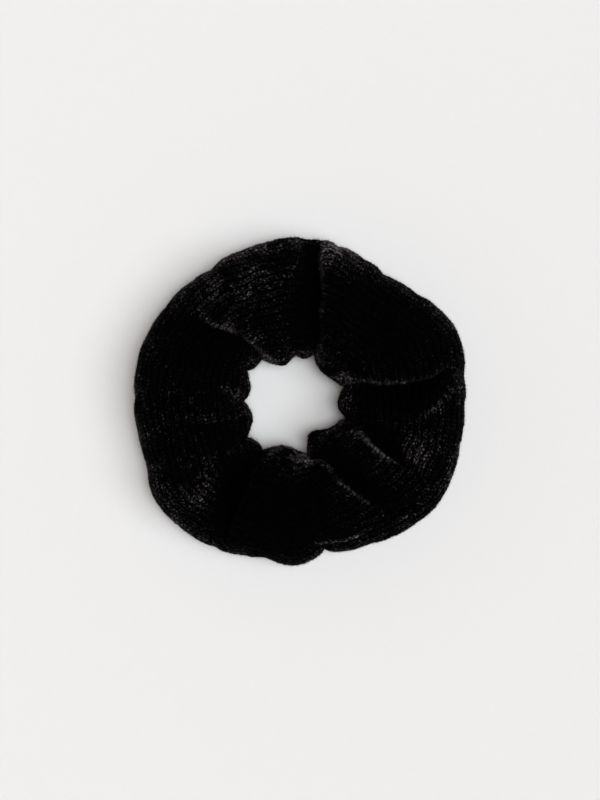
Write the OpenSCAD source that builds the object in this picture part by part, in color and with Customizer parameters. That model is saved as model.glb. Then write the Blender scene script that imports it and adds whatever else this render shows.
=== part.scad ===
// A fabric hair scrunchie: a tube of ribbed chenille cloth, gathered on a loop of
// flat elastic. The origin is on the surface it lies on, under the middle of the ring.
// The cover is one tube of cloth. It is drawn in two halves, left and right, so that
// the right half can be drawn away along +X as the elastic stretches.

/* [Cover] */
// Overall width of the ring, across its lying outline
ring_w = 110; // [105:1:120]
// Mean width of the hair opening, from crease to crease
hole_w = 34; // [32:1:36]
// Height of the fullest gather above the surface
loft = 26; // [24:1:30]
// Thickness of the cloth, with its pile
cloth_t = 1.5; // [1.2:0.1:1.8]
// Width of the raw edge that the long seam leaves inside the tube
allowance_w = 7; // [5:0.5:9]

/* [Elastic] */
// Width of the flat elastic
elastic_w = 6; // [5:0.5:6.5]
// Thickness of the flat elastic
elastic_t = 0.9; // [0.7:0.1:1.1]
// Length over which the two ends of the elastic lie on each other
lap_l = 12; // [10:1:14]

/* [Thread] */
// Thickness of the sewing thread
thread_d = 0.4; // [0.3:0.05:0.5]
// Length of one stitch, from needle hole to needle hole
stitch_l = 3; // [2.5:0.25:3.5]

/* [Hidden] */
$fn = 48;

black_pile = "#121112";
black_web = "#1d1c1e";
black_thread = "#18171a";

// Lying outline of the ring: angle, and distance from the origin for a 110 mm ring.
outline = [[0, 54.8], [20, 57.2], [35, 55.5], [50, 51], [70, 52.5], [90, 54.4],
           [130, 53.5], [155, 55.5], [185, 55], [200, 54.5], [213, 58.5], [235, 57],
           [255, 53.5], [269, 55], [280, 51], [305, 54.5], [323, 57.5], [345, 55.5],
           [360, 54.8]];
outline_s = ring_w / 110;
outline_smooth = [-6, -3, 0, 3, 6];

// Middle of the hair opening, and its creases: angle, and distance from that middle
// for a 34 mm opening. A rounded puff of cloth stands between each two creases.
hole_at = [-1.8, -1.2];
creases = [[21, 17], [67, 17.5], [90, 15.5], [127, 18.5], [146, 19.5], [176, 16.5],
           [216, 18], [238, 18.5], [283, 15], [329, 13], [345, 16], [381, 17]];
hole_s = hole_w / 34;
puff_share = 0.3;
puff_max = 3.2;

// Valleys between the gathers on top: angle, and depth as a share of the loft.
valleys = [[75, 0.3], [142, 0.22], [184, 0.12], [238, 0.26], [309, 0.26], [343, 0.3]];
valley_half = 14;

// The closing seam crosses the tube at this angle. The halves part there and opposite.
seam_angle = 75;
part_gap = 0.5;      // degrees left free on each side of the parting
half_steps = 44;
ring_points = 24;

// The section stands on a flat underside, and is widest a little below its middle.
belly = 0.44;
belly_low = 0.56;
tube_round = 0.85;

clear = 0.05;        // left free between a thread and what it is sewn to
elastic_r = 22.6 * hole_s;
elastic_z = belly * loft - elastic_w / 2;
lap_angle = lap_l / elastic_r * 180 / PI;

function mix(a, b, u) = a + (b - a) * u;
function wrap(a) = a - 360 * floor(a / 360);
function apart(a, b) = abs(wrap(a - b + 180) - 180);
function toward(a) = [cos(a), sin(a)];
function mean(v) = v * [for (x = v) 1] / len(v);
function signed_pow(x, e) = sign(x) * pow(abs(x), e);

function outline_r(a) =
    outline_s * mean([for (d = outline_smooth) lookup(wrap(a + d), outline)]);

function hole_r(a) =
    let (b = wrap(a - creases[0][0]) + creases[0][0],
         k = max([for (i = [0 : len(creases) - 2]) if (creases[i][0] <= b) i]),
         from = creases[k], to = creases[k + 1],
         u = (b - from[0]) / (to[0] - from[0]),
         arc = (to[0] - from[0]) * PI / 180 * from[1],
         puff = min(puff_max, puff_share * arc))
    hole_s * (mix(from[1], to[1], u) - puff * pow(sin(180 * u), 0.7));

function valley(a) =
    max([for (v = valleys)
        apart(a, v[0]) < valley_half ? v[1] * pow(cos(90 * apart(a, v[0]) / valley_half), 2) : 0]);

// Where the tube is, this share of the way from the opening to the outline.
function tube_at(a, share, inset) =
    mix(hole_at + (hole_r(a) + inset) * toward(a), (outline_r(a) - inset) * toward(a), share);

// A point of the tube: a is the angle round the ring, f the angle round the section
// from the hair opening over the top, and inset the distance in from the outside.
function tube_point(a, f, inset) =
    let (at = tube_at(a, 0.5 - 0.5 * signed_pow(cos(f), tube_round), inset),
         top = loft * (1 - belly - valley(a)) - inset,
         low = loft * belly_low - inset,
         z = belly * loft + (sin(f) > 0 ? top : low) * signed_pow(sin(f), tube_round))
    [at[0], at[1], max(inset, z)];

// Inside of the wall. The raw edges of the long seam lie along the floor of the tube
// as a step of two more layers of cloth, at the points numbered step_at onward.
allowance_from = 0.26;
step_at = 17;
function seam_edge(a, across, z) =
    let (at = tube_at(a, allowance_from, 0) + across * toward(a)) [at[0], at[1], z];
function inside_point(a, j) =
    j == step_at ? seam_edge(a, allowance_w, cloth_t) :
    j == step_at + 1 ? seam_edge(a, allowance_w, 3 * cloth_t) :
    j == step_at + 2 ? seam_edge(a, 0, 3 * cloth_t) :
    j == step_at + 3 ? seam_edge(a, 0, cloth_t) :
    tube_point(a, 360 * j / ring_points, cloth_t);

// Half of the tube's wall, from one parting to the other, with both ends open.
module cover_half(start) {
    n = ring_points;
    angles = [for (i = [0 : half_steps])
        mix(start + part_gap, start + 180 - part_gap, i / half_steps)];
    outside = [for (a = angles, j = [0 : n - 1]) tube_point(a, 360 * j / n, 0)];
    inside = [for (a = angles, j = [0 : n - 1]) inside_point(a, j)];
    shift = len(outside);
    end = half_steps * n;
    skin = [for (i = [0 : half_steps - 1], j = [0 : n - 1]) let (k = (j + 1) % n)
        [i * n + j, i * n + k, (i + 1) * n + k, (i + 1) * n + j]];
    lining = [for (q = skin) [for (m = [3 : -1 : 0]) q[m] + shift]];
    first = [for (j = [0 : n - 1]) let (k = (j + 1) % n) [j, j + shift, k + shift, k]];
    last = [for (q = first) [for (m = [3 : -1 : 0]) q[m] + end]];
    color(black_pile)
        polyhedron(concat(outside, inside),
                   [for (q = concat(skin, lining, first, last), t = [[0, 2, 1], [0, 3, 2]])
                       [for (m = t) q[m]]]);
}

module cover_left_half() cover_half(seam_angle);
module cover_right_half() cover_half(seam_angle + 180);

// A straight stitch of thread from one point to another.
module stitch(from, to) {
    run = to - from;
    translate(from)
        rotate([0, acos(run[2] / norm(run)), atan2(run[1], run[0])])
            cylinder(d = thread_d, h = norm(run), $fn = 16);
}

// One layer of the elastic over an angle, with its inner face at radius r.
module elastic_layer(r, start, angle) {
    translate([hole_at[0], hole_at[1], elastic_z])
        rotate([0, 0, start])
            rotate_extrude(angle = angle) translate([r, 0]) square([elastic_t, elastic_w]);
}

module elastic_band() {
    color(black_web) {
        elastic_layer(elastic_r, 0, 360);
        elastic_layer(elastic_r + elastic_t, -lap_angle / 2, lap_angle);
    }
}

// Zigzag over the lapped ends of the elastic, at radius r.
zig_count = 5;
zig_share = 0.8;     // share of the lap that is sewn
zig_edge = 1;        // distance from the zigzag to the elastic's edges
module zigzag(r) {
    step = lap_angle * zig_share / zig_count;
    for (i = [0 : zig_count - 1]) {
        from = toward(-lap_angle * zig_share / 2 + i * step) * r;
        to = toward(-lap_angle * zig_share / 2 + (i + 0.75) * step) * r;
        translate([hole_at[0], hole_at[1], elastic_z])
            stitch([from[0], from[1], zig_edge], [to[0], to[1], elastic_w - zig_edge]);
    }
}

module elastic_join_needle_thread() {
    color(black_thread) zigzag(elastic_r + 2 * elastic_t + thread_d / 2 + clear);
}

module elastic_join_bobbin_thread() {
    color(black_thread) zigzag(elastic_r - thread_d / 2 - clear);
}

// A row of stitches on the raw edges of the long seam: share is how far across them
// the row lies, and lean how far each stitch runs across the row.
module long_seam_row(share, lean) {
    z = 3 * cloth_t + thread_d / 2 + clear;
    row_r = hole_w / 2 + allowance_w + 3;
    count = round(2 * PI * row_r / stitch_l);
    for (i = [0 : count - 1]) {
        a = 360 * (i + 0.5) / count;
        reach = toward(a + 90) * stitch_l * 0.3 + toward(a) * lean / 2;
        middle = seam_edge(a, allowance_w * share, z);
        run = [reach[0], reach[1], 0];
        stitch(middle - run, middle + run);
    }
}

module long_seam_needle_thread() {
    color(black_thread) long_seam_row(0.25, 0);
}

module long_seam_looper_thread() {
    color(black_thread) long_seam_row(0.7, allowance_w * 0.35);
}

// The closing seam runs round the section inside the tube, from one side of the raw
// edges over the top to the other. side puts each thread in its own half.
closing_from = -38;
closing_to = 238;
closing_count = 24;
closing_side = 1.6;  // degrees from the parting to the thread
closing_clear = 0.4; // the section is curved, so a straight stitch needs more room
module closing_row(side) {
    a = seam_angle + side * closing_side;
    inset = cloth_t + thread_d / 2 + closing_clear;
    for (i = [0 : closing_count - 1]) {
        f = mix(closing_from, closing_to, i / closing_count);
        g = f + 0.7 * (closing_to - closing_from) / closing_count;
        stitch(tube_point(a, f, inset), tube_point(a, g, inset));
    }
}

module closing_seam_needle_thread() {
    color(black_thread) closing_row(1);
}

module closing_seam_bobbin_thread() {
    color(black_thread) closing_row(-1);
}

cover_left_half();
cover_right_half();
elastic_band();
elastic_join_needle_thread();
elastic_join_bobbin_thread();
long_seam_needle_thread();
long_seam_looper_thread();
closing_seam_needle_thread();
closing_seam_bobbin_thread();
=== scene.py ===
# %% [markdown]
# # A gathered velvet hair scrunchie
# A scrunchie is one strip of soft cloth, sewn to a tube and gathered on a loop of flat
# elastic. This one is black rib-knit chenille. Almost all of what the eye sees is the
# shape of the gathers, so this lesson first builds the smooth lying tube, then presses
# the creases into it, lets a short cloth simulation puff it up, and last covers it with
# ribs, stitches and pile.

# %% [markdown]
# ## The fixed frame
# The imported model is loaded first. It gives every part's place in metres, and it moves by
# its one joint, a sprung slide. Everything below is built round it and never moves it.

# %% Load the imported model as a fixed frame
import math
import bpy
import numpy as np
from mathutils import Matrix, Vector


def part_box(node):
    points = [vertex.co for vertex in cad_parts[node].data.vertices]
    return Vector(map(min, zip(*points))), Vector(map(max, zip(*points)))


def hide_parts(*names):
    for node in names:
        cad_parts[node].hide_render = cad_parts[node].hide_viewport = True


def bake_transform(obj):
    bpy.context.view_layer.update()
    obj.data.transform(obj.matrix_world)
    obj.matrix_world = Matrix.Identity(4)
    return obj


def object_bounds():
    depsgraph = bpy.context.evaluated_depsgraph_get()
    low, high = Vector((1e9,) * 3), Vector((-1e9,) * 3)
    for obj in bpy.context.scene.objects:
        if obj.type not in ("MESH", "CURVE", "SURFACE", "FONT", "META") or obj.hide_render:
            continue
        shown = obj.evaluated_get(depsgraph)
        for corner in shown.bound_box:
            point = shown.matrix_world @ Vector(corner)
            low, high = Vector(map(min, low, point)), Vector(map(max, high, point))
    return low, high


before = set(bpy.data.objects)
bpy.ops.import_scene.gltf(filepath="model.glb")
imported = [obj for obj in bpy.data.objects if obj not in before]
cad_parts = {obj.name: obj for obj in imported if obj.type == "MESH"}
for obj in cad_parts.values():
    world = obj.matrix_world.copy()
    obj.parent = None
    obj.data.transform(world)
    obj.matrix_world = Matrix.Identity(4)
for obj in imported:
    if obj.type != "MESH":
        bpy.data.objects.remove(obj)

MM = 0.001
cad_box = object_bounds()
print("CAD box, mm:", [[round(x / MM, 1) for x in corner] for corner in cad_box])

# %% [markdown]
# ## Helpers for nodes, materials and objects
# Every node tree is built with add(), which adds a node, changes its settings and fills
# its inputs. Materials and objects share a few more functions.

# %% Nodes
def add(tree, kind, inputs=None, **settings):
    """A new node. An input takes a value, a socket, or a node for its first output."""
    made = tree.nodes.new(kind)
    for name, value in settings.items():
        setattr(made, name, value)
    for key, value in (inputs or {}).items():
        if isinstance(value, bpy.types.Node):
            value = value.outputs[0]
        if isinstance(value, bpy.types.NodeSocket):
            tree.links.new(value, made.inputs[key])
        else:
            made.inputs[key].default_value = value
    return made


def maths(tree, operation, *values, **settings):
    """A math node with its values in order."""
    return add(tree, "ShaderNodeMath", dict(enumerate(values)), operation=operation, **settings)


def noise(tree, size, detail):
    """Noise with patches about size metres across."""
    where = add(tree, "ShaderNodeTexCoord").outputs["Object"]
    return add(tree, "ShaderNodeTexNoise", {"Vector": where, "Scale": 1 / size, "Detail": detail})


# %% Materials
def srgb(code):
    """An sRGB hex colour as the linear RGBA that Blender's sockets hold."""
    parts = [int(code[i:i + 2], 16) / 255 for i in (1, 3, 5)]
    return [c / 12.92 if c <= 0.04045 else ((c + 0.055) / 1.055) ** 2.4 for c in parts] + [1.0]


def material(name, levels):
    """A Principled material with some of its inputs set."""
    made = bpy.data.materials.new(name)
    made.use_nodes = True
    for key, value in levels.items():
        made.node_tree.nodes["Principled BSDF"].inputs[key].default_value = value
    return made


def colour(tree, factor, dark, lit):
    """A base colour from dark at factor 0 to lit at 1, both as hex colours."""
    mix = add(tree, "ShaderNodeMix", {"Factor": factor, 6: srgb(dark), 7: srgb(lit)},
              data_type="RGBA")
    tree.links.new(mix.outputs[2], tree.nodes["Principled BSDF"].inputs["Base Color"])


def bump(tree, height, distance, strength):
    """Relief in the shading only, distance metres high."""
    made = add(tree, "ShaderNodeBump",
               {"Height": height, "Distance": distance, "Strength": strength})
    tree.links.new(made.outputs[0], tree.nodes["Principled BSDF"].inputs["Normal"])


# %% Objects
def placed(name, data):
    """A new object in the scene, from a mesh, a light or a camera."""
    made = bpy.data.objects.new(name, data)
    bpy.context.scene.collection.objects.link(made)
    return made


def mesh_object(name, points, faces, edges=(), scale=MM):
    """A smooth-shaded mesh. scale is how many metres one unit of the points is."""
    mesh = bpy.data.meshes.new(name)
    faces = faces.tolist() if isinstance(faces, np.ndarray) else faces
    mesh.from_pydata((np.reshape(points, (-1, 3)) * scale).tolist(), list(edges), faces)
    mesh.shade_smooth()
    return placed(name, mesh)


def grid_faces(rows, columns, first=0, wrap_rows=True, wrap_columns=True, inside_out=False):
    """Faces of a grid of points, closed round its rows, its columns or both."""
    i, j = np.meshgrid(np.arange(rows if wrap_rows else rows - 1),
                       np.arange(columns if wrap_columns else columns - 1), indexing="ij")
    i2, j2 = (i + 1) % rows, (j + 1) % columns
    quads = np.stack([i * columns + j, i * columns + j2, i2 * columns + j2, i2 * columns + j], -1)
    quads = quads.reshape(-1, 4) + first
    return quads[:, ::-1] if inside_out else quads


def mark(made, name, values):
    """Keep a number, or a vector, for each point of a grid in the object's mesh."""
    kind, key = ("FLOAT_VECTOR", "vector") if values.ndim == 3 else ("FLOAT", "value")
    made.data.attributes.new(name, kind, "POINT").data.foreach_set(
        key, values.astype(np.float32).ravel())


# %% [markdown]
# ## The lying outline and the hair opening
# Seen from above, the tube lies between two closed curves: the outer edge, which is
# nearly smooth with a few soft corners, and the opening, which is a row of small puffs.
# Both are given by a few (angle, radius) points and a smooth curve through them.
# The outer edge is measured from the middle of the ring, the opening from its own.

# %% Outline and opening, in degrees and millimetres
HOLE_AT = np.array([-1.8, -1.2])
OUTLINE = [(0, 53.9), (20, 56.3), (30, 55.6), (41, 52.7), (53, 50.6), (62, 50.8), (75, 52.6),
           (90, 53.8), (105, 52.8), (118, 52.1), (131, 52.1), (142, 52.9), (155, 53.8), (180, 53.5),
           (199, 53.6), (207, 54.4), (215, 56.6), (232, 55.8), (245, 54.6), (256, 52.6), (270, 54),
           (280, 51.8), (297, 52.4), (310, 53.8), (324, 56.4), (345, 54.7)]
PUFFS = [(0, 16.4), (50, 15.9), (80, 16.5), (105, 15), (136, 18.9), (158, 16.5), (195, 15.3),
         (225, 18.2), (257, 15), (283, 15.6), (303, 12.1), (333, 16.5)]


# %% A smooth closed curve and a direction
def ring_curve(points, angle):
    """A smooth closed curve through (angle, value) points."""
    knots = np.array([a for a, _ in points], float)
    values = np.array([v for _, v in points], float)
    knots = np.concatenate([knots[-2:] - 360, knots, knots[:3] + 360])
    values = np.concatenate([values[-2:], values, values[:3]])
    slopes = np.zeros_like(values)
    slopes[1:-1] = (values[2:] - values[:-2]) / (knots[2:] - knots[:-2])
    angle = np.asarray(angle) % 360
    k = np.clip(np.searchsorted(knots, angle, side="right") - 1, 1, len(knots) - 3)
    gap = knots[k + 1] - knots[k]
    t = (angle - knots[k]) / gap
    return ((2 * t**3 - 3 * t**2 + 1) * values[k] + (t**3 - 2 * t**2 + t) * gap * slopes[k]
            + (3 * t**2 - 2 * t**3) * values[k + 1] + (t**3 - t**2) * gap * slopes[k + 1])


def toward(angle):
    return np.stack([np.cos(np.radians(angle)), np.sin(np.radians(angle))], -1)


def lifted(flat, z):
    """Points seen from above, set at a height."""
    return np.concatenate([flat, np.broadcast_to(z, flat.shape[:-1])[..., None]], -1)


def edge_points(angle):
    """The opening's edge and the outer edge at an angle, seen from above."""
    return (HOLE_AT + ring_curve(PUFFS, angle)[..., None] * toward(angle),
            ring_curve(OUTLINE, angle)[..., None] * toward(angle))


# %% [markdown]
# ## The creases between the gathers
# The elastic pulls the cloth together at the opening, so nearly every crease starts
# there and runs outward, mostly fading before it reaches the edge. A crease is told by
# its path, its depth and how wide each of its two shoulders is. The shoulders are round
# and meet in a sharp line, as two puffs of cloth do. "lean" pushes one over the other.

# %% Creases: share is 0 at the opening and 1 at the outer edge
# path is (share, angle), depth is (share, mm), low and high are the widths in mm of the
# shoulders at lower and higher angles, and a positive lean goes to higher angles. The last
# entry, where given, is how strong the painted highlight on the crest beside the crease is,
# 1 if not given.
CREASES = [
    dict(path=[(0, 20), (0.12, 19), (0.35, 13.5), (0.5, 12), (0.75, 12), (0.92, 13.5)],
         depth=[(0, 3.5), (0.15, 6), (0.5, 8.5), (0.75, 6), (0.92, 0)],
         low=13, high=3.5, lean=-3),
    dict(path=[(0.6, -6), (0.72, -3), (0.86, 3), (1, 9)],
         depth=[(0.58, 0), (0.75, 3.2), (0.92, 2.4), (1, 0)], low=3.5, high=6, lean=0.5, painted_crest_light=2.4),
    dict(path=[(0, 68), (0.12, 68), (0.25, 69.5), (0.4, 74), (0.6, 76.5), (0.85, 80.5), (1, 82)],
         depth=[(0, 4), (0.15, 6), (0.4, 10), (0.7, 9), (0.9, 6), (1, 0.8)],
         low=3.5, high=13, lean=2.5, painted_crest_light=0.65),
    dict(path=[(0, 89), (0.25, 92)], depth=[(0, 2), (0.12, 2.5), (0.28, 0)],
         low=4, high=4, lean=0),
    dict(path=[(0, 124), (0.1, 123.5), (0.22, 125.5), (0.35, 128), (0.45, 133), (0.57, 137),
               (0.8, 141)],
         depth=[(0, 3), (0.12, 6), (0.35, 8), (0.57, 5.5), (0.75, 0)],
         low=3.5, high=13, lean=3, painted_crest_light=0.8),
    dict(path=[(0, 145), (0.2, 147), (0.5, 151)], depth=[(0, 3), (0.15, 5), (0.5, 0)],
         low=5, high=5, lean=0),
    dict(path=[(0, 176), (0.12, 172), (0.25, 169), (0.45, 167)],
         depth=[(0, 2.5), (0.15, 4.5), (0.45, 0)], low=4, high=7, lean=1),
    dict(path=[(0.05, 198), (0.35, 193), (0.65, 189)],
         depth=[(0.04, 0), (0.2, 3), (0.4, 3), (0.65, 0)], low=4, high=7, lean=1),
    dict(path=[(0, 216), (0.25, 212), (0.5, 208)], depth=[(0, 3), (0.2, 4.5), (0.5, 0)],
         low=6, high=4, lean=-1),
    dict(path=[(0, 236), (0.15, 238), (0.4, 241.5), (0.6, 242), (0.8, 242.5), (1, 243)],
         depth=[(0, 3), (0.15, 7), (0.45, 11), (0.75, 7), (0.97, 0.5), (1, 0)],
         low=16, high=3.5, lean=-2, painted_crest_light=0.3),
    dict(path=[(0, 285), (0.07, 291), (0.16, 296.5), (0.3, 298), (0.45, 299.5), (0.55, 301),
               (0.68, 305), (0.85, 309)],
         depth=[(0, 4), (0.1, 6.5), (0.3, 10), (0.55, 9.5), (0.7, 6), (0.9, 0)],
         low=3.5, high=11, lean=2.5),
    dict(path=[(0, 313), (0.12, 311), (0.3, 307)], depth=[(0, 1), (0.12, 4), (0.3, 0)],
         low=4, high=5, lean=0),
    dict(path=[(0, 345), (0.1, 337), (0.3, 330), (0.47, 328), (0.6, 328), (0.75, 329)],
         depth=[(0, 3), (0.1, 6), (0.25, 9), (0.42, 10), (0.58, 6), (0.75, 0)],
         low=3.5, high=11, lean=3),
    dict(path=[(0.7, 274), (0.88, 277), (1, 280)], depth=[(0.65, 0), (0.85, 1.5), (1, 1.2)],
         low=4, high=4, lean=0),
]

# Where the outer edge is turned under a little, along a line at one share.
TURN_FROM, TURN_TO, TURN_FADE = 272, 302, 6  # degrees, and over how many it starts and ends
TURN_AT, TURN_DEEP, TURN_WIDE = 0.9, 1.6, 2.2  # share, mm deep, mm on each side
TURN_LIT = (0.8, -0.9, 0.8)  # how bright the painted highlight line inside it is, where in mm, how wide

# %% How wide each crease opens at the hair opening
mouths = sorted(c["path"][0][1] for c in CREASES if c["path"][0][0] == 0)
for c in CREASES:
    start = c["path"][0][1]
    if start in mouths:
        gap_low = (start - mouths[mouths.index(start) - 1]) % 360
        gap_high = (mouths[(mouths.index(start) + 1) % len(mouths)] - start) % 360
        radius = ring_curve(PUFFS, start)
        c["mouth"] = [g / 2 * math.pi / 180 * radius for g in (gap_low, gap_high)]
print("creases that start at the opening:", len(mouths))

# %% [markdown]
# ## The shape of one fold
# A fold has a steep side, where one puff of cloth leans over the next, and a broad side,
# which runs up slowly like a bowl. Near the opening both sides are round puffs. The steep
# side also stands a little proud, which gives the crest that catches the light.

# %% Round and smooth shapes
CREST = 0.17  # how far the steep side of a fold stands proud, per mm of depth
ROUNDING = 0.93  # how near the puff's arc comes to a quarter circle
MOUTH = 0.24  # share of the way across that belongs to the opening's puffs
PROUD_AT, PROUD_WIDE = 0.95, 0.55  # the crest, in shares of the shoulder's width
LIT_AT, LIT_WIDE = 0.45, 0.35  # the painted highlight line beside the crease
FULL_DEPTH = 8.0  # mm of depth at which a fold leans and its painted highlight is full


def shoulder(near):
    """How far down a point is, from 0 on top of a puff to 1 in the crease."""
    puff = (1 - np.sqrt(1 - ROUNDING * near**2)) / (1 - math.sqrt(1 - ROUNDING))
    return 0.5 * puff + 0.5 * near**2


def bell(x, middle, width):
    return np.exp(-((x - middle) / width) ** 2)


def ease(t):
    """A smooth step from 0 to 1."""
    return t**2 * (3 - 2 * t)


# %% Where one crease runs, and how deep it is there
def course(c, share, under):
    """Angle and depth. Under the tube a crease runs straight and is short at both ends."""
    path, depth = np.array(c["path"], float), np.array(c["depth"], float)
    starts_here = depth[0, 1] if depth[0, 0] == 0 else 0
    ends_here = depth[-1, 1] if depth[-1, 0] == 1 else 0
    straight = path[0, 1] + (path[-1, 1] - path[0, 1]) * share
    fade = starts_here * np.clip(1 - share / MOUTH, 0, 1)
    fade = fade + ends_here * np.clip((share - 0.7) / 0.3, 0, 1) ** 1.5
    return (np.where(under, straight, np.interp(share, path[:, 0], path[:, 1])),
            np.where(under, fade, np.interp(share, depth[:, 0], depth[:, 1])))


# %% What one crease does to the points round it
def fold(c, angle, share, radius, under):
    """Depth, rise of its crest and sideways push, in mm, and the strength of its painted highlight.
    """
    at, deep = course(c, share, under)
    off = ((angle - at + 180) % 360 - 180) * np.pi / 180 * radius
    clear_of_mouth = np.clip(share / 0.25, 0, 1)
    low, high = c["low"], c["high"]
    if "mouth" in c:
        low, high = (mouth + (wide - mouth) * ease(clear_of_mouth)
                     for mouth, wide in zip(c["mouth"], (low, high)))
    away = np.abs(off) / np.where(off > 0, high, low)
    near = np.clip(1 - away, 0, 1)
    if c["lean"] == 0:
        return deep * shoulder(near), 0, 0, 0
    side = (off < 0) if c["lean"] > 0 else (off > 0)
    bowl = np.where(side, 0, clear_of_mouth)
    shape = shoulder(near) * (1 - bowl) + ease(near) * bowl
    grow = np.clip(deep / FULL_DEPTH, 0, 1)
    crest = CREST * deep * bell(away, PROUD_AT, PROUD_WIDE) * clear_of_mouth
    push = c["lean"] * grow * (1 - shape) * near**0.5
    # painted highlight in the base colour, on the crest beside the steep side
    lit = c.get("painted_crest_light", 1) * grow * bell(away, LIT_AT, LIT_WIDE)
    return deep * shape, np.where(side, crest, 0), np.where(side, push, 0), np.where(side, lit, 0)


# %% All creases together: the deeper one wins, softly
def crease_field(angle, share, radius, under):
    """Depth, rise of the crests and sideways push, in mm, and the strength of the painted
    highlights.
    """
    total, ridge, push, painted_crest_light = (np.zeros_like(angle) for _ in range(4))
    for c in CREASES:
        deep, crest, shove, lit = fold(c, angle, share, radius, under)
        total += deep**3
        ridge += crest
        push += shove
        painted_crest_light += lit
    ends = np.clip(np.minimum(angle - TURN_FROM, TURN_TO - angle) / TURN_FADE, 0, 1) * ~under
    off = (share - TURN_AT) * (ring_curve(OUTLINE, angle) - ring_curve(PUFFS, angle))
    near = np.clip(1 - np.abs(off) / TURN_WIDE, 0, 1) * ends
    total += (TURN_DEEP * shoulder(near)) ** 3
    # painted highlight line inside the turned-under edge
    lit, lit_at, lit_wide = TURN_LIT
    painted_crest_light += lit * bell(off, lit_at, lit_wide) * ends
    return np.cbrt(total), ridge, push, painted_crest_light


# %% [markdown]
# ## The smooth lying tube
# Across the tube the cloth follows a rounded oval that is pressed flat where it lies.
# The ribs must run at equal distances round that oval, so it is walked once in small
# steps and then cut at equal lengths.

# %% Sizes of the section, in mm
PUFF_ROOM = 2.8  # left for the swelling, the ribs and the pile on top
LOFT = (cad_box[1][2] - cad_box[0][2]) / MM - PUFF_ROOM
BELLY = 0.44 * LOFT  # height of the widest level
LOW = 0.54 * LOFT  # how far below it the oval would reach
ROUND = 0.85  # 1 is an ellipse, less is boxier
FLOOR_GAP = 0.8  # room for the ribs and the pile under the cloth
WALL = 1.2  # thickness of the cloth under its ribs
elastic_box = np.array(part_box("elastic_band")) / MM
ELASTIC_TOP = elastic_box[1][2]
ELASTIC_LOW = elastic_box[0][2]
ELASTIC_T = 0.9
ELASTIC_R = (elastic_box[1][1] - elastic_box[0][1]) / 2 - ELASTIC_T
ELASTIC_MIDDLE = ELASTIC_R + ELASTIC_T
print("elastic inside, mm: radius", round(float(ELASTIC_R), 1), "height",
      round(float(ELASTIC_LOW), 1), "to", round(float(ELASTIC_TOP), 1))


# %% A point of the section
def signed_power(x, e):
    return np.sign(x) * np.abs(x) ** e


def section(angle, f):
    """A point of the smooth tube. f is 0 at the opening, 90 on top, 180 outside."""
    share = 0.5 - 0.5 * signed_power(np.cos(np.radians(f)), ROUND)
    inner, outer = edge_points(angle)
    rise = signed_power(np.sin(np.radians(f)), ROUND)
    z = BELLY + np.where(rise > 0, LOFT - BELLY, LOW) * rise
    return share, inner, outer, z


# %% Equal steps across the tube, from which the ribs stray a little
# Each wave: how many round the ring, its phase, and its turns across the tube.
STRAY = [(9, 0.4, 2), (14, 2.1, -3), (23, 4.4, 2), (31, 1.2, 5)]
STRAY_SIZE = 0.0022  # share of the way round the section


def even_section(angles, count):
    """For each angle round the ring, the f values that cut the section evenly."""
    f = np.linspace(0, 360, 361)
    share, inner, outer, z = section(angles[:, None], f[None, :])
    x = share * np.linalg.norm(outer - inner, axis=-1)
    z = np.maximum(z, 0)
    length = np.concatenate([np.zeros((len(angles), 1)),
                             np.cumsum(np.hypot(np.diff(x), np.diff(z)), axis=1)], axis=1)
    ticks = np.arange(count) / count
    stray = sum(np.sin(k * np.radians(angles)[:, None] + phase + 2 * np.pi * turns * ticks)
                for k, phase, turns in STRAY)
    ticks = np.clip(ticks + STRAY_SIZE * stray * np.sin(np.pi * ticks), 0, 1)
    return np.array([np.interp(t * row[-1], row, f) for t, row in zip(ticks, length)])


# %% Small soft wrinkles, with a fixed seed
rng = np.random.default_rng(7)
WRINKLES = [(int(k), rng.uniform(0, 2 * np.pi), rng.uniform(-2, 2), rng.uniform(0, 2 * np.pi))
            for k in list(rng.integers(4, 9, 5)) + list(rng.integers(12, 36, 12))]
BROAD_WRINKLE, FINE_WRINKLE = 0.5, 0.16  # mm


def wrinkle(angle, f, share):
    """Small soft wrinkles: mm of rise, weaker at the opening, where the puffs are."""
    a, g = np.radians(angle), np.radians(f)
    rise = 0
    for k, phase, lean, shift in WRINKLES:
        size = BROAD_WRINKLE if k < 10 else FINE_WRINKLE
        rise = rise + size * np.sin(k * a + phase + lean * np.sin(g + shift))
    return rise * (0.35 + 0.9 * np.clip(share * 4, 0, 1) - 0.95 * share**2)


# %% [markdown]
# ## Painted light and shade on the pile
# Velvet and chenille look bright where light falls across the pile at a slant, and black
# in its folds. Here that light and shade is painted: each point of the cloth gets a number
# from 0, painted shade in a crease, to 1.3, painted highlight on a crest. The stitches and
# the pile read it later as an attribute for their base colour, and the beads are also
# smaller where it is low.

# %% Painted sheen patches, painted shade where negative: (share, angle, size in mm, strength)
PAINTED_SHEEN_AND_SHADE_PATCHES = [(0.65, 112, 14, 0.38), (0.68, 131, 7, 0.45), (0.62, 222, 9, 0.8),
           (0.65, 336.5, 7, 0.7), (0.93, 74, 7, 0.7), (0.12, 262, 6, 0.8), (0.5, 262, 20, -0.5),
           (0.6, 42, 17, -0.35), (0.55, 153, 10, -0.5), (0.4, 88, 8, -0.4), (0.55, 233, 7, -0.4),
           (0.5, 0, 10, -0.3)]
PLAIN_PAINTED_LIGHT, UNDERSIDE = 0.42, 0.5  # painted light level where nothing else sets it, on top and underneath
# painted shade in the valleys, painted highlight on the crests, painted sheen near both edges
VALLEY_PAINTED_SHADE, CREST_PAINTED_LIGHT, EDGE_PAINTED_SHEEN = 0.6, 0.9, 0.5
VALLEY_DEEP = 6  # mm of depth at which a valley's painted shade is full


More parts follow.
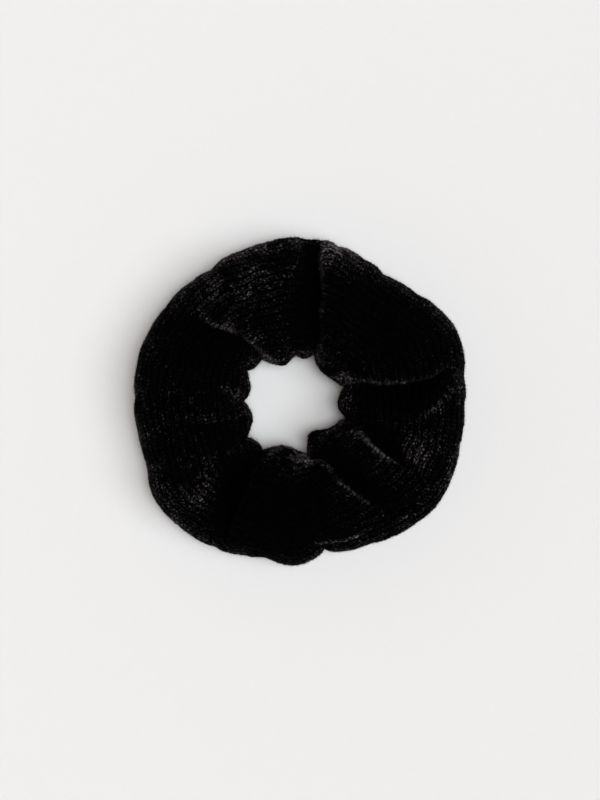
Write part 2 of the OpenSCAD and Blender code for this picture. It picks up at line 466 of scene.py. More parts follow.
def pile_open_and_painted_light(angle, share, flat, valley, painted_crest_light, under):
    """Painted light level, from 0, painted shade in a crease, to about 1.3, painted highlight on a
    crest.
    """
    # painted shade in a valley, unless it has a painted crest highlight
    shut = np.clip(valley / VALLEY_DEEP, 0, 1) * (1 - np.clip(painted_crest_light, 0, 1))
    level = PLAIN_PAINTED_LIGHT - VALLEY_PAINTED_SHADE * shut + CREST_PAINTED_LIGHT * painted_crest_light
    # painted sheen near the outer edge and near the opening
    level += EDGE_PAINTED_SHEEN * (np.clip(share * 8 - 7, 0, 1) + np.clip(1 - share * 6, 0, 1))
    # patches of painted sheen, or of painted shade where the strength is negative
    for at, turn, size, strength in PAINTED_SHEEN_AND_SHADE_PATCHES:
        reach = ring_curve(OUTLINE, turn) * at + ring_curve(PUFFS, turn) * (1 - at)
        middle = reach * toward(turn)
        level += strength * np.exp(-((flat - middle) ** 2).sum(-1) / size**2)
    return np.where(under, UNDERSIDE, np.clip(level, 0.03, 1.3))


# %% The creased tube
CORE = (0.3, 0.7)  # shares of the way across between which the tube's core lies
CORE_CLEAR = 1.5  # mm that the deepest crease stays away from the core
ELASTIC_CLEAR = 0.3  # mm between the lining and the elastic's top
BESIDE, FALL = 1.5, 1.5  # mm beside the elastic where the cloth may fall, and its slope
UNDER_WRINKLES = 0.4  # how strong the wrinkles are where the cloth is pressed flat


def lying_tube(angles, n_across):
    """Its points [around, across, xyz] in mm, how deep they lie and their painted light level."""
    f = even_section(angles, n_across)
    a = np.broadcast_to(angles[:, None], f.shape)
    share, inner, outer, z = section(a, f)
    under = f > 180
    flat = inner + (outer - inner) * share[..., None]
    radius = np.linalg.norm(flat - HOLE_AT, axis=-1)
    valley, ridge, push, painted_crest_light = crease_field(a, share, radius, under)
    depth = valley - ridge
    lift = np.where(under, UNDER_WRINKLES, 1) * wrinkle(a, f, share)
    core = inner + (outer - inner) * np.clip(share, *CORE)[..., None]
    point = lifted(flat, z)
    inward = lifted(core, BELLY) - point
    reach = np.linalg.norm(inward, axis=-1, keepdims=True)
    inward = inward / np.maximum(reach, 1e-6)
    step = np.minimum(depth, reach[..., 0] - CORE_CLEAR) - lift
    point = point + inward * step[..., None]
    point[..., :2] += toward(a + 90) * push[..., None]
    point[..., 2] = np.maximum(point[..., 2], FLOOR_GAP)
    from_elastic = np.abs(np.linalg.norm(point[..., :2] - HOLE_AT, axis=-1) - ELASTIC_MIDDLE)
    rest = ELASTIC_TOP + WALL + ELASTIC_CLEAR - FALL * np.clip(from_elastic - BESIDE, 0, None)
    point[..., 2] = np.where(under | (f < 30), point[..., 2], np.maximum(point[..., 2], rest))
    return point, depth, pile_open_and_painted_light(a, share, flat, valley, painted_crest_light, under)


# %% Rows of points, closer together at the creases, where the cloth turns sharply
CROWDED, CROWD_WIDE = 1.6, 60  # how much closer, and the square of how many degrees
fine = np.linspace(0, 360, 3601)
crowd = 1 + sum(CROWDED * np.exp(-((fine - m + 180) % 360 - 180) ** 2 / CROWD_WIDE)
                for m in mouths)
walked = np.concatenate([[0], np.cumsum((crowd[1:] + crowd[:-1]) / 2)])
AROUND = 376  # in fours, for the lining and the cloth simulation
RIBS = 42
RIB_STEPS = 6  # grid columns for each rib
ACROSS = RIBS * RIB_STEPS
angles = np.interp(np.arange(AROUND) / AROUND * walked[-1], walked, fine)
print("grid:", AROUND, "points round the ring,", ACROSS, "round the tube")

# %% [markdown]
# ## Puffing the cloth up
# The drawn creases are still stiff. Blender's cloth takes the same surface, blows a
# little air into the tube and lets the cloth grow by a few percent, while the bottoms of
# the creases and the part on the table are pinned. The cloth then bulges between its
# creases and gets small dents of its own. It is worked out ten times too large, because
# the solver is made for clothes, and how far a point may move is capped.

# %% Cloth simulation
SIM_SCALE = 10 * MM  # ten times the real size
SIM_FRAMES = 18
SIM_CAP = 2.5  # mm
HELD_DEPTH = 6  # mm of crease depth at which the cloth is held fast
SOFT_CLOTH = {"quality": 6, "mass": 0.3, "tension_stiffness": 12, "compression_stiffness": 12,
              "shear_stiffness": 4, "bending_stiffness": 0.6, "use_pressure": True,
              "uniform_pressure_force": 4, "vertex_group_mass": "held", "shrink_min": -0.03}


def puffed(points, depth):
    """How far the cloth simulation moves each point of the grid, in mm."""
    body = mesh_object("cloth_run", points, grid_faces(*points.shape[:2]), scale=SIM_SCALE)
    pin = np.clip(depth / HELD_DEPTH, 0, 1) ** 2
    pin = np.maximum(pin, points[..., 2] < FLOOR_GAP + 0.2)
    group = body.vertex_groups.new(name="held")
    for i, weight in enumerate(pin.ravel()):
        group.add([i], float(weight), "REPLACE")
    cloth = body.modifiers.new("cloth", "CLOTH").settings
    for key, value in SOFT_CLOTH.items():
        setattr(cloth, key, value)
    cloth.effector_weights.gravity = 0
    scene = bpy.context.scene
    for step in range(1, SIM_FRAMES + 1):
        scene.frame_set(step)
    held = body.evaluated_get(bpy.context.evaluated_depsgraph_get()).data
    after = np.empty(len(held.vertices) * 3)
    held.vertices.foreach_get("co", after)
    move = after.reshape(points.shape) / SIM_SCALE - points
    length = np.linalg.norm(move, axis=-1, keepdims=True)
    move *= SIM_CAP * np.tanh(length / SIM_CAP) / np.maximum(length, 1e-9)
    bpy.data.objects.remove(body)
    scene.frame_set(1)
    print("cloth moved the surface by up to", round(float(np.linalg.norm(move, axis=-1).max()), 2),
          "mm, on average", round(float(np.linalg.norm(move, axis=-1).mean()), 2), "mm")
    return move


# %% The simulation runs on every second point, and its moves are spread over the rest
def doubled(grid, axis):
    """A closed grid with a smoothly placed row added after every row."""
    ahead, after, behind = (np.roll(grid, -k, axis) for k in (1, 2, -1))
    middle = (9 * (grid + ahead) - after - behind) / 16
    return np.stack([grid, middle], axis + 1).reshape(
        grid.shape[:axis] + (2 * grid.shape[axis],) + grid.shape[axis + 1:])


smooth, depth, pile_and_painted_light_grid = lying_tube(angles, ACROSS)
smooth = smooth + doubled(doubled(puffed(smooth[::2, ::2], depth[::2, ::2]), 0), 1)
smooth[..., 2] = np.maximum(smooth[..., 2], FLOOR_GAP)

# %% [markdown]
# ## Ribs
# The knit has a rib every 2.4 mm. Each rib is a round cord of chenille, so the cloth's
# surface is raised along its normal by a row of half-round ridges. The same surface,
# pushed in by the cloth's thickness, is the smooth lining side. The two skins make one
# closed cloth, which could also be had from a Solidify modifier, but the lining needs
# far fewer points than the ribs.

# %% The cover's mesh
RIB_HIGH = 0.5  # mm
LINING_AROUND, LINING_ACROSS = 4, 6  # the lining has every 4th and every 6th point


def grid_normals(p):
    along = np.roll(p, -1, 0) - np.roll(p, 1, 0)
    across = np.roll(p, -1, 1) - np.roll(p, 1, 1)
    n = np.cross(across, along)
    return n / np.maximum(np.linalg.norm(n, axis=-1, keepdims=True), 1e-9)


normal = grid_normals(smooth)
phase = (np.arange(ACROSS) % RIB_STEPS) / RIB_STEPS
ridge = RIB_HIGH * np.sqrt(1 - (2 * phase - 1) ** 2)
ribbed = smooth + normal * ridge[None, :, None]
lining = (smooth - normal * WALL)[::LINING_AROUND, ::LINING_ACROSS]
points = np.concatenate([ribbed.reshape(-1, 3), lining.reshape(-1, 3)])
faces = np.concatenate([grid_faces(AROUND, ACROSS),
                        grid_faces(*lining.shape[:2], first=AROUND * ACROSS, inside_out=True)])
cover = mesh_object("chenille_cover", points, faces)
from_elastic = np.abs(np.linalg.norm(lining[..., :2] - HOLE_AT, axis=-1) - ELASTIC_MIDDLE)
over_elastic = (from_elastic < WALL) & (lining[..., 2] > BELLY)
print("lowest lining over the elastic:", round(float(lining[over_elastic][:, 2].min()), 2),
      "mm, the elastic's top:", round(float(ELASTIC_TOP), 2), "mm")
print("cover:", len(points), "points,", 2 * len(faces), "triangles")

# %% [markdown]
# ## Chenille stitches
# Each rib is a column of knitted loops, and each loop has two legs. From arm's length a
# leg of chenille yarn is a short fuzzy bead, and the beads of the two legs lean towards
# each other like a plait. A small Geometry Nodes tree turns the two lines of legs on
# every rib to curves, cuts them at the stitch length and puts a bead at every cut,
# standing on the cloth's normal. Modelled loops of yarn would be truer, but there are
# thousands of them, and under the pile no one would see the difference.

# %% How every Geometry Nodes tree begins and ends
def group_tree(name, sockets):
    """A tree, the identifiers of its named inputs, and the inputs as sockets."""
    tree = bpy.data.node_groups.new(name, "GeometryNodeTree")
    tree.interface.new_socket("Geometry", in_out="INPUT", socket_type="NodeSocketGeometry")
    ids = {}
    for label, kind in sockets:
        made = tree.interface.new_socket(label, in_out="INPUT", socket_type="NodeSocket" + kind)
        ids[label] = made.identifier
    tree.interface.new_socket("Geometry", in_out="OUTPUT", socket_type="NodeSocketGeometry")
    return tree, ids, add(tree, "NodeGroupInput").outputs


def end_tree(tree, geometry, material, smooth=True):
    """Turns instances to mesh, coats it with the material and hands it out."""
    made = add(tree, "GeometryNodeRealizeInstances", {"Geometry": geometry})
    if smooth:
        made = add(tree, "GeometryNodeSetShadeSmooth", {"Geometry": made})
    coat = add(tree, "GeometryNodeSetMaterial", {"Geometry": made, "Material": material})
    add(tree, "NodeGroupOutput", {"Geometry": coat})


# %% Random numbers and stored numbers inside a tree
def chance(tree, low, high, seed):
    """A random number for each instance, or three if low and high hold three."""
    three = isinstance(low, tuple)
    made = add(tree, "FunctionNodeRandomValue",
               {0 if three else 2: low, 1 if three else 3: high, "Seed": seed},
               data_type="FLOAT_VECTOR" if three else "FLOAT")
    return made.outputs[0 if three else 1]


def stored(tree, name, kind="FLOAT"):
    """What mark() has kept at each point."""
    made = add(tree, "GeometryNodeInputNamedAttribute", {"Name": name}, data_type=kind)
    return made.outputs["Attribute"]


def with_painted_glint(tree, instances, seed):
    """Gives each instance a random number for its painted glint, how bright a fleck of light it
    gets.
    """
    return add(tree, "GeometryNodeStoreNamedAttribute",
               {"Geometry": instances, "Name": "painted_glint", "Value": chance(tree, 0.0, 1.0, seed)},
               data_type="FLOAT", domain="INSTANCE")


# %% Geometry Nodes: beads along lines
KEPT = 0.9  # share of the beads that are kept, so that the rows are not too even
WOBBLE = 0.3  # radians that a bead may turn from its row
SMALLEST, LARGEST = (0.8, 0.7, 0.7), (1.15, 1.2, 1.3)  # of a bead's length, width, height


def bead_tree():
    tree, ids, put = group_tree("beads_on_lines", [
        ("Stitch Length", "Float"), ("Bead Size", "Vector"), ("Lean", "Float"),
        ("Seed", "Int"), ("Material", "Material")])
    seed = put["Seed"]
    line = add(tree, "GeometryNodeMeshToCurve", {"Mesh": put["Geometry"]})
    cut = add(tree, "GeometryNodeResampleCurve",
              {"Curve": line, "Length": put["Stitch Length"]}, mode="LENGTH")
    bead = add(tree, "GeometryNodeMeshUVSphere", {"Segments": 6, "Rings": 4, "Radius": 0.5})
    sized = add(tree, "GeometryNodeTransform", {"Geometry": bead, "Scale": put["Bead Size"]})
    up = stored(tree, "cloth_up", "FLOAT_VECTOR")
    turn = add(tree, "FunctionNodeAlignRotationToVector",
               {"Vector": up}, axis="Z", pivot_axis="AUTO")
    run = add(tree, "GeometryNodeInputTangent")
    turn = add(tree, "FunctionNodeAlignRotationToVector",
               {"Rotation": turn, "Vector": run}, axis="X", pivot_axis="Z")
    wobble = chance(tree, -WOBBLE, WOBBLE, seed)
    angle = maths(tree, "MULTIPLY_ADD", stored(tree, "leg"), put["Lean"], wobble)
    spin = add(tree, "ShaderNodeCombineXYZ", {"Z": angle})
    lean = add(tree, "FunctionNodeRotateRotation",
               {"Rotation": turn, "Rotate By": spin}, rotation_space="LOCAL")
    size = chance(tree, SMALLEST, LARGEST, seed)
    # the beads are also smaller where the painted light level is low
    plump = add(tree, "ShaderNodeMapRange", {"Value": stored(tree, "pile_open_and_painted_light"), "From Max": 1.0,
                                             "To Min": 0.75, "To Max": 1.1})
    size = add(tree, "ShaderNodeVectorMath", {0: size, "Scale": plump}, operation="SCALE")
    kept = add(tree, "FunctionNodeRandomValue", {6: KEPT, "Seed": seed}, data_type="BOOLEAN")
    beads = add(tree, "GeometryNodeInstanceOnPoints",
                {"Points": cut, "Instance": sized, "Selection": kept.outputs[3],
                 "Rotation": lean, "Scale": size})
    end_tree(tree, with_painted_glint(tree, beads, seed), put["Material"])
    return tree, ids


# %% Run a tree on an object and keep the plain mesh
def grown(obj, tree, ids, values):
    """obj's mesh after the tree has run on it, as a plain mesh in obj."""
    modifier = obj.modifiers.new("nodes", "NODES")
    modifier.node_group = tree
    for label, value in values.items():
        modifier[ids[label]] = value
    bpy.context.view_layer.update()
    made = bpy.data.meshes.new_from_object(
        obj.evaluated_get(bpy.context.evaluated_depsgraph_get()))
    obj.modifiers.remove(modifier)
    old = obj.data
    obj.data = made
    made.name = obj.name
    bpy.data.meshes.remove(old)
    at = np.empty(len(made.vertices) * 3, np.float32)
    made.vertices.foreach_get("co", at)
    at[2::3] = np.maximum(at[2::3], 0)  # nothing reaches below the table
    made.vertices.foreach_set("co", at)
    print(obj.name + ":", len(made.vertices), "points,", len(made.polygons), "faces")
    return obj


# %% [markdown]
# ## Chenille as a material
# Chenille yarn is a core with short cut fibres standing out of it all round. The dye is
# a deep black, so the grey in the yarn's and the pile's base colour is painted glint and
# sheen of fibre tips: painted shade, black, in the folds, painted grey on crests, at the
# edges and in patches. It comes from the painted light level of the cloth there, a random
# number of each bead, patches 7 mm wide and specks of 0.7 mm. The real sheen is faint.
# Bump gives fibres of 0.35 mm, ten times too coarse, as real ones would not show.

# %% Base of the three chenille finishes
PATCH, SPECK, FIBRE = 7 * MM, 0.7 * MM, 0.35 * MM


def velvet(name, base, glow, weight, rough, gloss):
    """glow and weight are the sheen's colour and strength, gloss the specular level."""
    return material(name, {"Base Color": srgb(base), "Roughness": rough,
                           "Sheen Weight": weight, "Sheen Roughness": 0.22,
                           "Sheen Tint": srgb(glow), "Specular IOR Level": gloss})


# %% Painted glint and sheen of each bead and fibre
def pile_look(m, dark, lit, relief):
    """Painted glint for each bead or fibre at random and in patches, painted sheen on the crests,
    and a fine fibre bump.
    """
    tree = m.node_tree
    patch = add(tree, "ShaderNodeMapRange",
                {"Value": noise(tree, PATCH, 2.0), "From Min": 0.36, "From Max": 0.62})
    speck = add(tree, "ShaderNodeMapRange",
                {"Value": noise(tree, SPECK, 1.0), "From Min": 0.5, "From Max": 0.75})
    glint_chance, painted_light_level = (add(tree, "ShaderNodeAttribute", attribute_name=name).outputs["Fac"]
                      for name in ("painted_glint", "pile_open_and_painted_light"))
    full = maths(tree, "POWER", painted_light_level, 3.0)  # painted highlight, near 0 except on the crests
    rare = maths(tree, "MULTIPLY_ADD", full, 0.25, maths(tree, "POWER", glint_chance, 1.6))
    filled = maths(tree, "MULTIPLY_ADD", full, 0.08, speck)
    gain = maths(tree, "MULTIPLY", maths(tree, "POWER", painted_light_level, 1.6), 1.85)
    painted_glint_and_sheen = maths(tree, "MULTIPLY", maths(tree, "MULTIPLY", rare, patch), filled)
    colour(tree, maths(tree, "MULTIPLY", painted_glint_and_sheen, gain, use_clamp=True), dark, lit)
    bump(tree, noise(tree, FIBRE, 2.0), 0.3 * MM, relief)


# %% Ground cloth, yarn and loose fibres: one dye, three surfaces
ground = velvet("black_chenille_ground", "#020202", "#55494c", 0.12, 0.95, 0.0)
yarn = velvet("black_chenille_yarn", "#020202", "#6b5d61", 0.14, 0.6, 0.02)
fuzz = velvet("black_chenille_fuzz", "#020202", "#6b5d61", 0.12, 0.6, 0.02)
# The lighter colours are painted glint and sheen, none on the ground.
pile_look(ground, "#020202", "#020202", 0.6)
pile_look(yarn, "#020202", "#6a6467", 0.7)
pile_look(fuzz, "#020202", "#5a5254", 0.0)
cover.data.materials.append(ground)

# %% Lines that the beads stand on
LEG_AT = 2  # grid columns from the valley between two ribs to a leg
BEAD_SUNK = 0.2  # mm


def rib_lines(name, ribs):
    """Two lines along each rib, a little to each side of its crest, one for each leg."""
    columns = np.concatenate([ribs * RIB_STEPS + LEG_AT, (ribs + 1) * RIB_STEPS - LEG_AT])
    n = len(columns)
    index = np.arange(AROUND * n).reshape(AROUND, n)
    edges = np.stack([index, np.roll(index, -1, 0)], -1).reshape(-1, 2)
    line = ribbed[:, columns] - BEAD_SUNK * normal[:, columns]
    made = mesh_object(name, line, [], edges.tolist())
    mark(made, "cloth_up", normal[:, columns])
    mark(made, "pile_open_and_painted_light", pile_and_painted_light_grid[:, columns])
    mark(made, "leg", np.tile(np.repeat([-1.0, 1.0], len(ribs)), (AROUND, 1)))
    return made


# %% The stitches, in four pieces so that none has too many triangles
STITCH = 1.35  # mm from bead to bead
BEAD = (1.8, 0.85, 0.95)  # mm along the rib, across it and up
LEAN = 0.4  # radians, the two legs of a rib to opposite sides
beads, bead_ids = bead_tree()
stitches = []
for name, first, last in (("stitches_hole_side", 0, 11), ("stitches_upper_outer", 11, 21),
                          ("stitches_lower_outer", 21, 31), ("stitches_under_side", 31, RIBS)):
    made = rib_lines(name, np.arange(first, last))
    grown(made, beads, bead_ids,
          {"Stitch Length": STITCH * MM, "Bead Size": [x * MM for x in BEAD],
           "Lean": LEAN, "Seed": len(stitches), "Material": yarn})
    stitches.append(made)

# %% [markdown]
# ## Loose pile
# Between the beads single fibres stand up and blur the edge of the cloth. Blender's hair
# would not be exported, so a second tree scatters small three-sided cones over the ribbed
# surface, each tilted and sized by a seeded random number. There are fewer and thicker
# fibres than on the real cloth.

# %% Geometry Nodes: fibres scattered on a surface
def pile_tree():
    tree, ids, put = group_tree("pile_on_cloth", [
        ("Density", "Float"), ("Fibre Length", "Float"), ("Fibre Width", "Float"),
        ("Seed", "Int"), ("Material", "Material")])
    seed = put["Seed"]
    spots = add(tree, "GeometryNodeDistributePointsOnFaces",
                {"Mesh": put["Geometry"], "Density": put["Density"], "Seed": seed},
                distribute_method="RANDOM")
    fibre = add(tree, "GeometryNodeMeshCone",
                {"Vertices": 3, "Radius Top": 0.0, "Radius Bottom": put["Fibre Width"],
                 "Depth": put["Fibre Length"]}, fill_type="NGON")
    tilt = chance(tree, (-0.9, -0.9, -3.1), (0.9, 0.9, 3.1), seed)
    lean = add(tree, "FunctionNodeRotateRotation",
               {"Rotation": spots.outputs["Rotation"], "Rotate By": tilt},
               rotation_space="LOCAL")
    many = add(tree, "GeometryNodeInstanceOnPoints",
               {"Points": spots, "Instance": fibre, "Rotation": lean,
                "Scale": chance(tree, 0.6, 1.2, seed)})
    end_tree(tree, with_painted_glint(tree, many, seed), put["Material"], smooth=False)
    return tree, ids


# %% The pile, in three pieces: grid columns, and fibres for each square millimetre
FIBRE_LONG, FIBRE_WIDE = 1.1, 0.035  # mm, the width from the middle to a corner
PILE_SEED = 11
PILE = {"pile_inner_slope": (0, 60, 4.5), "pile_outer_slope": (60, 132, 3.5),
        "pile_under_side": (132, ACROSS + 1, 2)}
pile, pile_ids = pile_tree()
fibres = []
for name, (first, last, density) in PILE.items():
    columns = np.arange(first, last) % ACROSS
    made = mesh_object(name, ribbed[:, columns],
                       grid_faces(AROUND, len(columns), wrap_columns=False))
    mark(made, "pile_open_and_painted_light", pile_and_painted_light_grid[:, columns])
    grown(made, pile, pile_ids,
          {"Density": density / MM**2, "Fibre Length": FIBRE_LONG * MM,
           "Fibre Width": FIBRE_WIDE * MM, "Seed": PILE_SEED, "Material": fuzz})
    fibres.append(made)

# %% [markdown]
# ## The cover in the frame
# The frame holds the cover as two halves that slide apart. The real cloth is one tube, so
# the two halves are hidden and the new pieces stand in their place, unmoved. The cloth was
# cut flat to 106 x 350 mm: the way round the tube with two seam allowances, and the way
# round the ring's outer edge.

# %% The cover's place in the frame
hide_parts("cover_left_half", "cover_right_half")
for piece in [cover] + stitches + fibres:
    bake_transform(piece)

# %% [markdown]
# ## The elastic inside
# The loop is one strip of flat woven elastic whose ends lie on each other for 12 mm.
# A woven elastic has rubber cords running along it, side by side, so its two faces are
# a row of low round ridges. The strip is swept as one section, and its outer end climbs
# over the inner one by the strip's own thickness.

# %% Section of the strip
CORDS = 7
CORD_HIGH = 0.1  # mm
LAP = 30.4  # degrees, 12 mm
CLIMB = 12  # degrees over which the outer end climbs
WEB_STEPS = 440


def web_section():
    """Closed section of the strip: (outward, up) in mm from its middle."""
    up = np.linspace(-1, 1, CORDS * 4 + 1)
    bulge = CORD_HIGH * (np.abs(np.sin(np.pi * CORDS * (up + 1) / 2)) - 1)
    edge = np.sqrt(np.clip(1 - up**8, 0, 1))
    half = (ELASTIC_T / 2 + bulge) * (0.35 + 0.65 * edge)
    face = np.stack([half, up * (ELASTIC_TOP - ELASTIC_LOW) / 2], -1)
    return np.concatenate([face, face[::-1] * [-1, 1]])


# %% The loop, with its outer end on its inner one
turn = np.linspace(-LAP / 2, 360 + LAP / 2, WEB_STEPS)
climb = np.clip((turn - (360 - LAP / 2 - CLIMB)) / CLIMB, 0, 1)
radius = ELASTIC_R + ELASTIC_T * (0.5 + ease(climb))
out, up = web_section().T
points = np.empty((WEB_STEPS, len(out), 3))
points[..., :2] = HOLE_AT + toward(turn)[:, None] * (radius[:, None] + out)[..., None]
points[..., 2] = (ELASTIC_TOP + ELASTIC_LOW) / 2 + up
sides = grid_faces(WEB_STEPS, len(out), wrap_rows=False, inside_out=True).tolist()
first_end = list(range(len(out)))
last_end = [points[..., 0].size - 1 - k for k in first_end]
elastic = mesh_object("woven_elastic_loop", points, sides + [first_end, last_end])
strip = math.radians(360 + LAP) * (ELASTIC_R + ELASTIC_T / 2)
print("elastic strip:", round(float(strip), 1), "mm long")

# %% [markdown]
# ## Woven elastic as a material
# Polyester yarns are woven over the rubber cords, crossing the strip every 0.6 mm. So the
# strip has a fine ripple along its length, worked out from the angle round the loop, and a
# dull black that varies from yarn to yarn.

# %% Material of the elastic
WEFT = 0.6  # mm between two crossing yarns
web = material("black_woven_elastic", {"Roughness": 0.75})
tree = web.node_tree
where = add(tree, "ShaderNodeTexCoord").outputs["Object"]
centred = add(tree, "ShaderNodeMapping",
              {"Vector": where, "Location": (-HOLE_AT[0] * MM, -HOLE_AT[1] * MM, 0)})
apart = add(tree, "ShaderNodeSeparateXYZ", {"Vector": centred})
bearing = maths(tree, "ARCTAN2", apart.outputs["Y"], apart.outputs["X"])
weft = maths(tree, "SINE", maths(tree, "MULTIPLY", bearing, ELASTIC_R / WEFT * math.pi))
yarns = noise(tree, 0.4 * MM, 2.0)
colour(tree, yarns, "#0b0b0c", "#262527")
bump(tree, maths(tree, "ADD", weft, yarns), 0.08 * MM, 0.7)
elastic.data.materials.append(web)

# %% [markdown]
# ## Sewing threads
# Six rows of stitches hold the scrunchie together, all inside it. Each is one long
# thread that shows on its side for the length of a stitch and then dips into the cloth.
# A thread is a line of points, and one Geometry Nodes tree makes a smooth curve of every
# line and gives it the same round section.

# %% Geometry Nodes: a thread along a line
THREAD = 0.4  # mm
CLEAR = 0.05  # mm left free beside a thread


def thread_tree():
    tree, ids, put = group_tree("thread_on_line", [
        ("Thickness", "Float"), ("Step", "Float"), ("Material", "Material")])
    line = add(tree, "GeometryNodeMeshToCurve", {"Mesh": put["Geometry"]})
    smooth_line = add(tree, "GeometryNodeCurveSplineType", {"Curve": line},
                      spline_type="CATMULL_ROM")
    even = add(tree, "GeometryNodeResampleCurve",
               {"Curve": smooth_line, "Length": put["Step"]}, mode="LENGTH")
    ring = add(tree, "GeometryNodeCurvePrimitiveCircle",
               {"Resolution": 8, "Radius": maths(tree, "MULTIPLY", put["Thickness"], 0.5)},
               mode="RADIUS")
    cord = add(tree, "GeometryNodeCurveToMesh",
               {"Curve": even, "Profile Curve": ring, "Fill Caps": True})
    end_tree(tree, cord, put["Material"])
    return tree, ids


# %% Material of the threads: spun polyester, with fibres drawn at 0.25 mm
polyester = material("black_polyester_thread", {"Roughness": 0.45, "Specular IOR Level": 0.35})
tree = polyester.node_tree
plies = noise(tree, 0.25 * MM, 1.0)
colour(tree, plies, "#0a0a0b", "#242326")
bump(tree, plies, 0.06 * MM, 0.6)

# %% A thread as a piece
THREAD_STEP = 0.35  # mm between the rings of its mesh
threads, thread_ids = thread_tree()


def thread(name, node, path, closed):
    """A sewing thread along a path in mm, which stands for a CAD node."""
    n = len(path)
    edges = [(i, (i + 1) % n) for i in range(n if closed else n - 1)]
    made = mesh_object(name, path, [], edges)
    grown(made, threads, thread_ids,
          {"Thickness": THREAD * MM, "Step": THREAD_STEP * MM, "Material": polyester})
    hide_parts(node)
    return made


# %% [markdown]
# ## The elastic's own seam
# The lapped ends are joined with a zigzag, because a straight seam would snap when the
# elastic stretches. The needle thread lies on the outer face and the bobbin thread on the
# inner one, and both dip into the elastic at each turn.

# %% Zigzag on the elastic's lap, needle side and bobbin side
ZIGS = 5
ZIG_SPAN = 0.8 * LAP  # degrees
ZIG_EDGE = 1.0  # mm from the zigzag to the elastic's edges
ZIG_DIP = 0.15  # mm


def zigzag(radius, dip):
    """Zigzag over the lap at a radius; each turn dips into the elastic by dip mm."""
    path = []
    for i in range(2 * ZIGS + 1):
        at = -ZIG_SPAN / 2 + ZIG_SPAN * i / (2 * ZIGS)
        high = ELASTIC_TOP - ZIG_EDGE if i % 2 else ELASTIC_LOW + ZIG_EDGE
        path.append([*(HOLE_AT + toward(at) * (radius + dip)), high])
        if i < 2 * ZIGS:
            half = at + ZIG_SPAN / (4 * ZIGS)
            path.append([*(HOLE_AT + toward(half) * radius), (ELASTIC_TOP + ELASTIC_LOW) / 2])
    return path


sewn = [thread("zigzag_needle_thread", "elastic_join_needle_thread",
               zigzag(ELASTIC_R + 2 * ELASTIC_T + THREAD / 2 + CLEAR, -ZIG_DIP), False),
        thread("zigzag_bobbin_thread", "elastic_join_bobbin_thread",
               zigzag(ELASTIC_R - THREAD / 2 - CLEAR, ZIG_DIP), False)]

# %% [markdown]
# ## The long seam
# The strip of cloth is sewn to a tube along its length by an overlock machine. Its two
# raw edges, 7 mm wide, lie flat on each other inside the tube, on its floor. The needle
# thread runs along them. The looper thread of a real overlock wraps over the cut edge;
# this one runs to and fro beside it.

# %% Where the raw edges lie
EDGE_WIDE = 7.0  # mm
EDGE_FROM = 0.26  # share of the way across the tube
EDGE_LOW, EDGE_HIGH = FLOOR_GAP + WALL, 4.5  # mm above the table


def seam_at(angle, across, z):
    """Points on the raw edges: across is mm from the seam, z the height."""
    inner, outer = edge_points(angle)
    flat = inner + (outer - inner) * EDGE_FROM + np.asarray(across)[..., None] * toward(angle)
    return lifted(flat, z)


# %% Two layers of cloth, the upper cut 0.4 mm shorter
EDGE_STEPS = 240
EDGE_SET_BACK = 0.4  # mm
EDGE_BULGE = 0.15  # mm that the cut edge is rounded by
turn = np.arange(EDGE_STEPS) * 360 / EDGE_STEPS
layer = (EDGE_HIGH - EDGE_LOW) / 2
raw_points, raw_faces = [], []
for level in range(2):
    low = EDGE_LOW + level * layer + CLEAR
    high = EDGE_LOW + (level + 1) * layer - CLEAR
    cut = EDGE_WIDE - EDGE_SET_BACK * level
    rim = [(0, low), (0, high), (cut, high), (cut + EDGE_BULGE, (low + high) / 2), (cut, low)]
    ring = np.stack([seam_at(turn, np.full(EDGE_STEPS, float(x)), z) for x, z in rim], 1)
    raw_faces.append(grid_faces(EDGE_STEPS, len(rim), first=len(rim) * EDGE_STEPS * level))
    raw_points.append(ring.reshape(-1, 3))
raw_edges = mesh_object("long_seam_raw_edges", np.concatenate(raw_points),
                        np.concatenate(raw_faces))
raw_edges.data.materials.append(ground)

# %% The needle thread and the looper thread
SEAM_STITCHES = 57


def seam_row(share, lean, dip):
    """One row of the long seam: each stitch leans across by lean mm and dips between."""
    path = []
    z = EDGE_HIGH + THREAD / 2 + CLEAR
    for i in range(SEAM_STITCHES):
        for part, side, down in ((0.2, -0.5, 0), (0.5, 0, 0), (0.8, 0.5, 0), (1.0, 0, dip)):
            at = np.array([360 * (i + part) / SEAM_STITCHES])
            over = np.array([EDGE_WIDE * share + lean * side])
            path.append(seam_at(at, over, z - down)[0].tolist())
    return path


sewn.append(thread("overlock_needle_thread", "long_seam_needle_thread",
                   seam_row(0.25, 0, 0.25), True))
sewn.append(thread("overlock_looper_thread", "long_seam_looper_thread",
                   seam_row(0.7, EDGE_WIDE * 0.35, 0.1), True))

# %% [markdown]
# ## The closing seam
# Last of all the two ends of the tube are sewn to each other, round the tube's section,
# with a lockstitch. It lies inside too, so its place is only a guess: in the deepest
# crease at the top of the ring.

# %% Closing seam threads
CLOSING_AT, CLOSING_SIDE = 75, 1.6  # degrees round the ring, and to each thread
CLOSING_FROM, CLOSING_TO = -38, 238  # degrees round the section
CLOSING_STITCHES = 24
CLOSING_DIP = 0.15  # mm


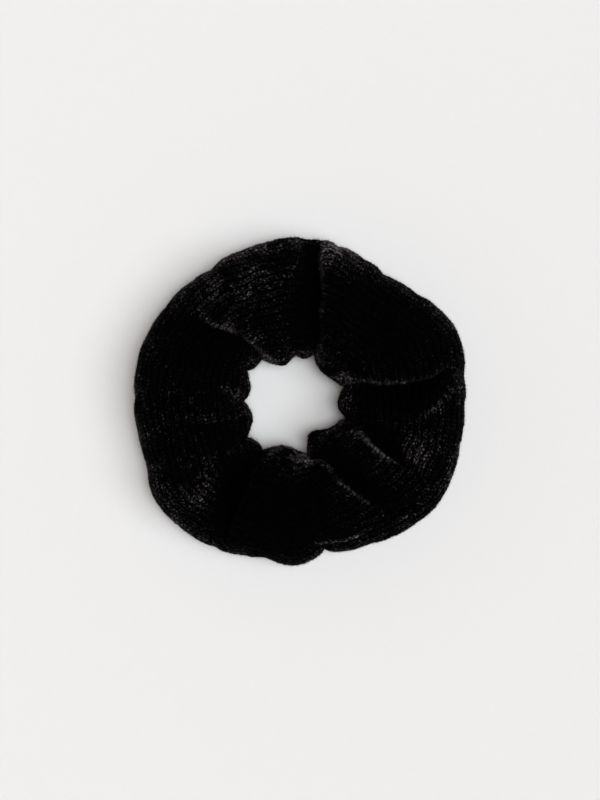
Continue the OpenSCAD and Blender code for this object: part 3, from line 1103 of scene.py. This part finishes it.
def closing_row(angle):
    """The lockstitch round the inside of the tube at one angle round the ring."""
    row = np.argmin(np.abs((angles - angle + 180) % 360 - 180))
    inside = smooth[row] - normal[row] * (WALL + THREAD / 2 + CLEAR)
    at = even_section(angles[row:row + 1], ACROSS)[0]
    order = np.argsort(at)
    wrapped = np.concatenate([at[order] - 360, at[order], at[order] + 360])
    f = np.linspace(CLOSING_FROM, CLOSING_TO, 4 * CLOSING_STITCHES + 1)
    ring = np.stack([np.interp(f, wrapped, np.tile(inside[order, k], 3)) for k in range(3)], 1)
    inward = ring.mean(0) - ring
    inward /= np.linalg.norm(inward, axis=1, keepdims=True)
    dip = np.where(np.arange(len(f)) % 4 == 0, 0, CLOSING_DIP)
    return (ring + inward * dip[:, None]).tolist()


sewn.append(thread("closing_needle_thread", "closing_seam_needle_thread",
                   closing_row(CLOSING_AT + CLOSING_SIDE), False))
sewn.append(thread("closing_bobbin_thread", "closing_seam_bobbin_thread",
                   closing_row(CLOSING_AT - CLOSING_SIDE), False))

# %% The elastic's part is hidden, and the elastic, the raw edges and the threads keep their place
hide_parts("elastic_band")
for piece in [elastic, raw_edges] + sewn:
    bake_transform(piece)

# %% [markdown]
# ## The stage
# A pale paper sweep: a flat round floor that turns up into a low wall all round, so that
# every side view has pale paper behind the object.

# %% Floor
FLOOR_R, BEND_R, WALL_TOP = 1.0, 0.45, 0.3  # metres
profile = [(0.001, 0.0), (FLOOR_R, 0.0)]
profile += [(FLOOR_R + BEND_R * math.sin(t), BEND_R * (1 - math.cos(t)))
            for t in np.linspace(0.1, math.pi / 2, 12)]
profile.append((FLOOR_R + BEND_R, BEND_R + WALL_TOP))
STAGE_STEPS = 96
around = np.linspace(0, 2 * np.pi, STAGE_STEPS, endpoint=False)
shell = [[r * math.cos(a), r * math.sin(a), z] for r, z in profile for a in around]
sides = grid_faces(len(profile), STAGE_STEPS, wrap_rows=False, inside_out=True).tolist()
floor = mesh_object("pale_floor", shell, sides + [list(range(STAGE_STEPS))], scale=1)

# %% Matt paper, with a very faint cloud of fibres 1.5 mm wide
paper = material("pale_matt_paper", {"Roughness": 0.95, "Specular IOR Level": 0.2})
colour(paper.node_tree, noise(paper.node_tree, 1.5 * MM, 3.0), "#e6e6e7", "#e9e9ea")
floor.data.materials.append(paper)
print("floor:", 2 * (FLOOR_R + BEND_R), "m across")

# %% [markdown]
# ## Light and camera
# A wide soft key light stands to the right and a little in front, and a second one nearly
# overhead fills the floor. Both are suns, whose shadows are soft by their width in
# degrees. A faint warm world keeps the shadows from going grey. The camera looks straight
# down with a long lens, so that the ring shows little perspective.

# %% World and lights
world = bpy.data.worlds.new("studio")
bpy.context.scene.world = world
world.use_nodes = True
world.node_tree.nodes["Background"].inputs["Color"].default_value = srgb("#ffd2b0")
world.node_tree.nodes["Background"].inputs["Strength"].default_value = 0.17


SUN_COLOUR = (0.945, 0.985, 1.0)  # a little cool, against the warm world


def lamp(name, strength, spread, height, side):
    """A far soft light. spread is its width, height and side where it stands, in degrees."""
    data = bpy.data.lights.new(name, "SUN")
    data.energy = strength
    data.color = SUN_COLOUR
    data.angle = math.radians(spread)
    placed(name, data).rotation_euler = (math.radians(90 - height), 0, math.radians(90 + side))


lamp("key_from_right", 1.6, 42, 56, -15)
lamp("overhead", 1.5, 27, 84, -15)

# %% Camera
CAMERA_AT = (0.33 * MM, 0.33 * MM, 641.7 * MM)  # over the middle of the ring
cam_data = bpy.data.cameras.new("camera")
cam_data.lens = 85
cam = placed("camera", cam_data)
cam.location = CAMERA_AT
bpy.context.scene.camera = cam
bpy.context.scene.view_settings.view_transform = "Standard"
